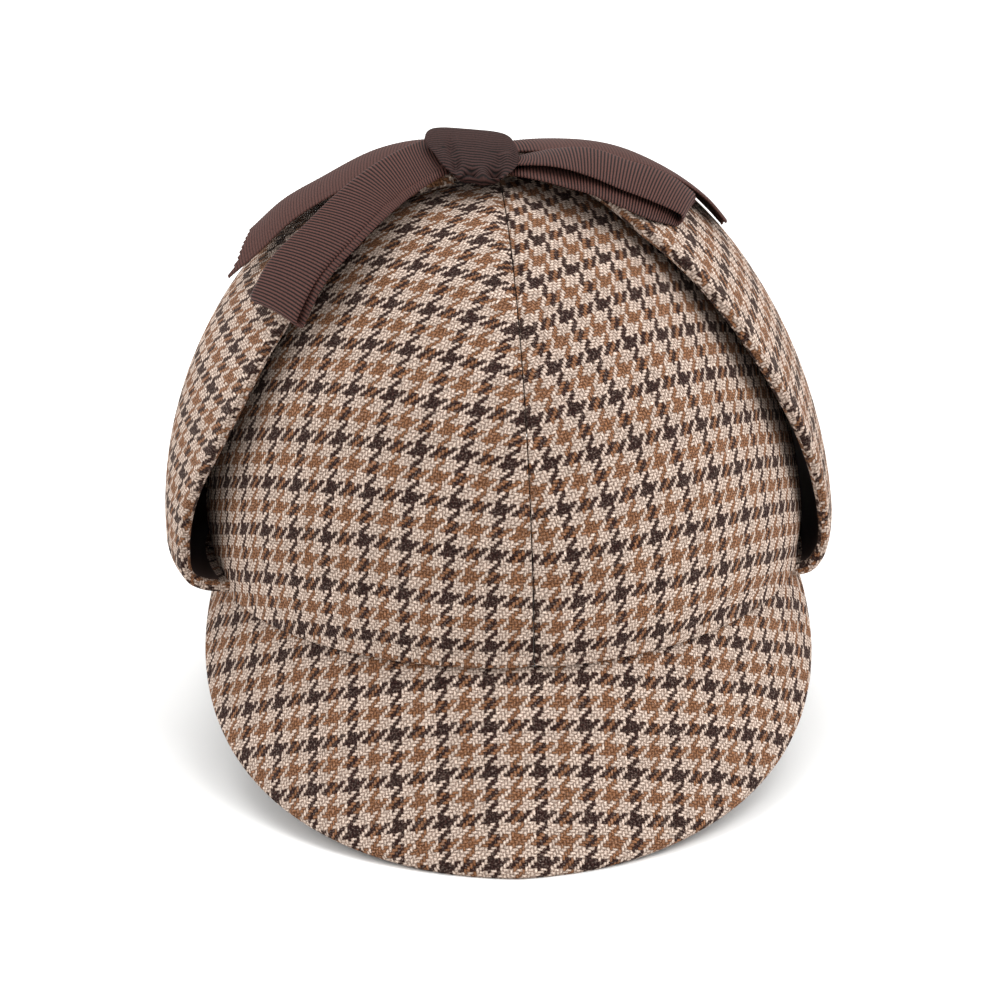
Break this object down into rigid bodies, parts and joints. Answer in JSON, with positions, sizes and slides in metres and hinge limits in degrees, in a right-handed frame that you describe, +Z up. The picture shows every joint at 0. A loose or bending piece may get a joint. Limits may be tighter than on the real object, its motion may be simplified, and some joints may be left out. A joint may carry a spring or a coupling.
{
  "type": "deerstalker hat",
  "caption": "Tweed deerstalker hat with a peak at front and back, and ear flaps folded up and tied over the crown in a ribbon bow.",
  "frame": {"origin": "on the floor, under the middle of the hat's box", "axes": "+Z up, -Y towards the front peak, +X towards the right-hand side as seen from the front"},
  "size_m": [0.2016, 0.281, 0.1865],
  "materials": {
    "tweed_crown": "houndstooth wool tweed in beige, tan and dark brown",
    "tweed_peak": "houndstooth wool tweed over a stiff board",
    "tweed_flap": "houndstooth wool tweed, turned in at the edge",
    "ribbon": "corded grosgrain ribbon with a low sheen"
  },
  "bodies": {
    "root": {"crown_gore_front_left": "tweed_crown", "crown_gore_front_right": "tweed_crown", "crown_gore_back_right": "tweed_crown", "crown_gore_back_left": "tweed_crown", "front_peak": "tweed_peak", "back_peak": "tweed_peak", "ear_flap_right": "tweed_flap", "ear_flap_left": "tweed_flap", "ribbon_knot": "ribbon", "ribbon_loop_left": "ribbon", "ribbon_loop_right": "ribbon", "ribbon_tail_left": "ribbon", "ribbon_tail_right": "ribbon"}
  },
  "joints": []
}
